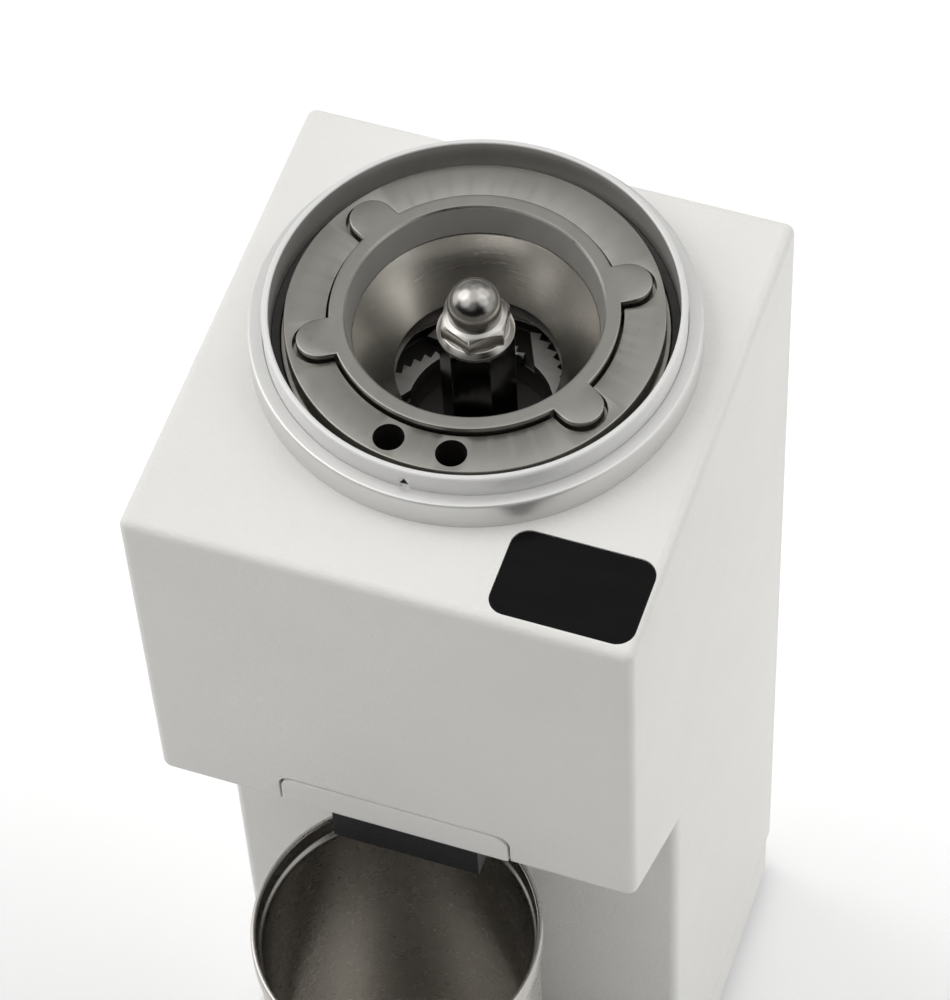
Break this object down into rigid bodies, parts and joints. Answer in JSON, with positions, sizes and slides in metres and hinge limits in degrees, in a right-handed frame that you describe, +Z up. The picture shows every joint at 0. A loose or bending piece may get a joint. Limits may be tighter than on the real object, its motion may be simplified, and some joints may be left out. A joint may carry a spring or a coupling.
{
  "type": "burr coffee grinder",
  "caption": "Single-dose burr coffee grinder: C-shaped body, open steel feed funnel in a stepped collar, flat burrs, geared motor and a dosing cup.",
  "frame": {"origin": "centre of the base's footprint, on the surface that the feet stand on", "axes": "+X to the grinder's right as seen by the user, -Y towards the user (the front), +Z up along the spindle"},
  "size_m": [0.1, 0.15, 0.266],
  "materials": {
    "white_coat": "fine-grained powder coat",
    "satin_steel": "turned and brushed",
    "polished_steel": "polished",
    "dark_steel": "dark polished",
    "burr_steel": "ground",
    "cast_aluminium": "as machined",
    "black_plastic": "moulded",
    "rubber": "matt",
    "red_silicone": "matt",
    "brass": "machined",
    "copper": "enamelled wire",
    "motor_steel": "black",
    "circuit_board": "solder mask",
    "zinc": "plated",
    "display": "gloss"
  },
  "bodies": {
    "body": {"housing": "white_coat", "back_cover": "white_coat", "base": "white_coat", "bottom_plate": "motor_steel", "feet": "rubber", "cup_pad": "rubber", "cup_magnet": "zinc", "collar": "white_coat", "guide_screws": "zinc", "wave_spring": "zinc", "shaft_seal": "rubber", "upper_bearing": "zinc", "lower_bearing": "zinc", "grind_chamber": "cast_aluminium", "chute": "black_plastic", "chute_cover": "white_coat", "declumper": "red_silicone", "chute_screws": "zinc", "gearbox_cover": "cast_aluminium", "ring_gear": "burr_steel", "motor_plate": "cast_aluminium", "motor_can": "motor_steel", "stator": "burr_steel", "windings": "copper", "motor_bearings": "zinc", "controller_board": "circuit_board", "board_parts": "black_plastic", "board_standoffs": "brass", "display_glass": "display", "display_board": "circuit_board", "power_inlet": "black_plastic", "switch_frame": "black_plastic", "base_screws": "zinc", "cover_screws": "zinc", "chamber_screws": "zinc", "gearbox_screws": "zinc"},
    "adjuster": {"adjusting_ring": "white_coat"},
    "burr_carrier": {"upper_burr_carrier": "satin_steel", "upper_burr": "burr_steel", "upper_burr_screws": "zinc"},
    "funnel": {"feed_funnel": "satin_steel"},
    "grinding_spindle": {"spindle": "zinc", "planet_carrier": "burr_steel", "upper_bearing_race": "zinc", "lower_bearing_race": "zinc", "burr_hub": "dark_steel", "lower_burr": "burr_steel", "lower_burr_screws": "zinc", "hex_sleeve": "dark_steel", "lock_washer": "polished_steel", "acorn_nut": "polished_steel"},
    "planet_1": {"planet_gear_1": "brass"},
    "planet_2": {"planet_gear_2": "brass"},
    "planet_3": {"planet_gear_3": "brass"},
    "motor_rotor": {"rotor": "motor_steel", "motor_shaft": "zinc", "sun_gear": "burr_steel"},
    "rocker": {"power_rocker": "black_plastic"},
    "cup": {"dosing_cup": "satin_steel"}
  },
  "joints": [
    {"name": "adjuster_turn", "type": "hinge", "parent": "body", "child": "adjuster", "pos_m": [0, 0.0295, 0.25], "axis": [0, 0, 1], "range_deg": [-90, 180]},
    {"name": "burr_travel", "type": "slide", "parent": "body", "child": "burr_carrier", "axis": [0, 0, 1], "range_m": [-0.0004, 0.0008], "deforming": ["wave_spring"]},
    {"name": "funnel_lift", "type": "slide", "parent": "burr_carrier", "child": "funnel", "axis": [0, 0, 1], "range_m": [0, 0.06]},
    {"name": "spindle_spin", "type": "hinge", "parent": "body", "child": "grinding_spindle", "pos_m": [0, 0.0295, 0.2], "axis": [0, 0, 1], "continuous": true},
    {"name": "planet_1_spin", "type": "hinge", "parent": "grinding_spindle", "child": "planet_1", "pos_m": [0.0165, 0.0295, 0.16], "axis": [0, 0, 1], "continuous": true},
    {"name": "planet_2_spin", "type": "hinge", "parent": "grinding_spindle", "child": "planet_2", "pos_m": [-0.00825, 0.04379, 0.16], "axis": [0, 0, 1], "continuous": true},
    {"name": "planet_3_spin", "type": "hinge", "parent": "grinding_spindle", "child": "planet_3", "pos_m": [-0.00825, 0.01521, 0.16], "axis": [0, 0, 1], "continuous": true},
    {"name": "motor_spin", "type": "hinge", "parent": "body", "child": "motor_rotor", "pos_m": [0, 0.0295, 0.12], "axis": [0, 0, 1], "continuous": true},
    {"name": "rocker_tilt", "type": "hinge", "parent": "body", "child": "rocker", "pos_m": [0.022, 0.0701, 0.04], "axis": [1, 0, 0], "range_deg": [-18, 0]},
    {"name": "cup_pull", "type": "slide", "parent": "body", "child": "cup", "axis": [0, -1, 0], "range_m": [0, 0.1]}
  ],
  "couplings": [
    {"joint": "burr_travel", "follows": "adjuster_turn", "m_per_rad": 0.00023873},
    {"joint": "motor_spin", "follows": "spindle_spin", "ratio": 3.6667},
    {"joint": "planet_1_spin", "follows": "spindle_spin", "ratio": -3.2},
    {"joint": "planet_2_spin", "follows": "spindle_spin", "ratio": -3.2},
    {"joint": "planet_3_spin", "follows": "spindle_spin", "ratio": -3.2}
  ]
}
